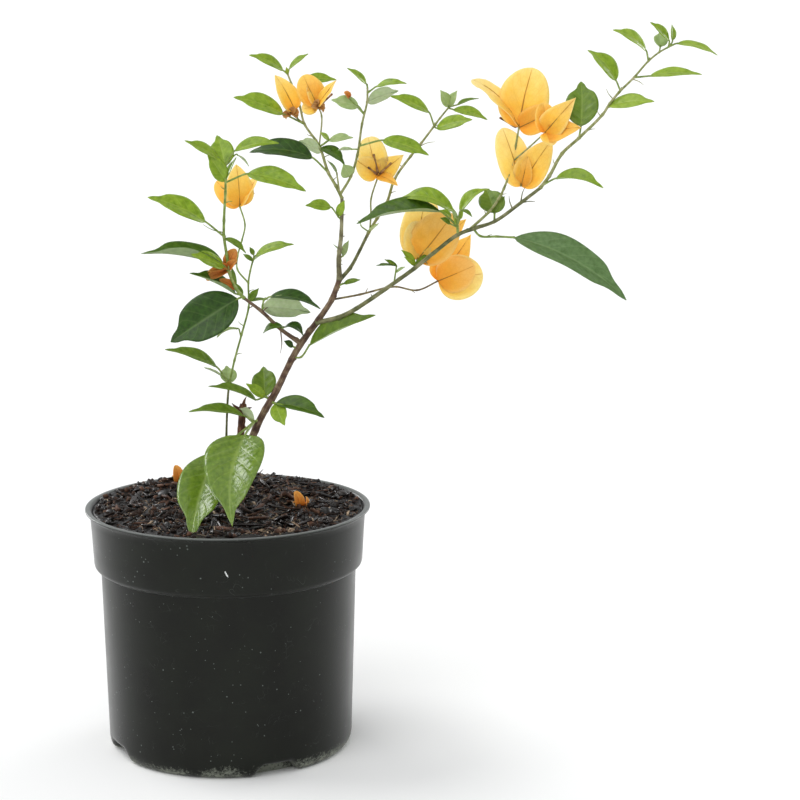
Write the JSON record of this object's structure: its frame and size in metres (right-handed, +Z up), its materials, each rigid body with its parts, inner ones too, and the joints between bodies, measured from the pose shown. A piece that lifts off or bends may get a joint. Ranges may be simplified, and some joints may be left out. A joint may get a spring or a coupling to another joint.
{
  "type": "young potted bougainvillea",
  "caption": "Young sparse bougainvillea with a leaning trunk, thin boughs, sprays of pointed leaves and papery bracts, in a round black nursery pot of compost.",
  "frame": {"origin": "centre of the pot's flat underside, which stands on the floor", "axes": "+Z up along the pot's axis; -Y is the front that the picture shows; +X is to the right of someone who looks at the front, the way the plant leans"},
  "size_m": [0.4063, 0.19, 0.4842],
  "materials": {
    "pot": "satin black moulded polypropylene",
    "compost": "loose dark peat compost",
    "brown_bark": "matt brown bark",
    "green_bark": "matt green bark",
    "leaves": "waxy green leaf",
    "bracts": "papery orange-yellow bract"
  },
  "bodies": {
    "root": {"pot": "pot", "potting_soil": "compost", "trunk": "brown_bark", "old_stump": "brown_bark", "left_bough": "brown_bark", "centre_bough": "brown_bark", "slender_stem": "green_bark", "upper_right_bough": "green_bark", "right_bough": "green_bark", "foot_spray_front": "leaves", "foot_spray_left": "leaves", "foot_spray_right": "leaves", "slender_spray": "leaves", "left_spray": "leaves", "left_inner_spray": "leaves", "left_low_spray": "leaves", "trunk_leaf_left": "leaves", "trunk_leaf_right": "leaves", "fork_leaf": "leaves", "centre_side_spray": "leaves", "centre_pair": "leaves", "upper_spray": "leaves", "upper_right_spray": "leaves", "right_inner_spray": "leaves", "right_low_leaf": "leaves", "right_mid_spray": "leaves", "right_mid_leaf": "leaves", "long_leaf": "leaves", "tip_spray": "leaves", "low_flower": "bracts", "flower_shoot": "bracts"}
  },
  "joints": []
}
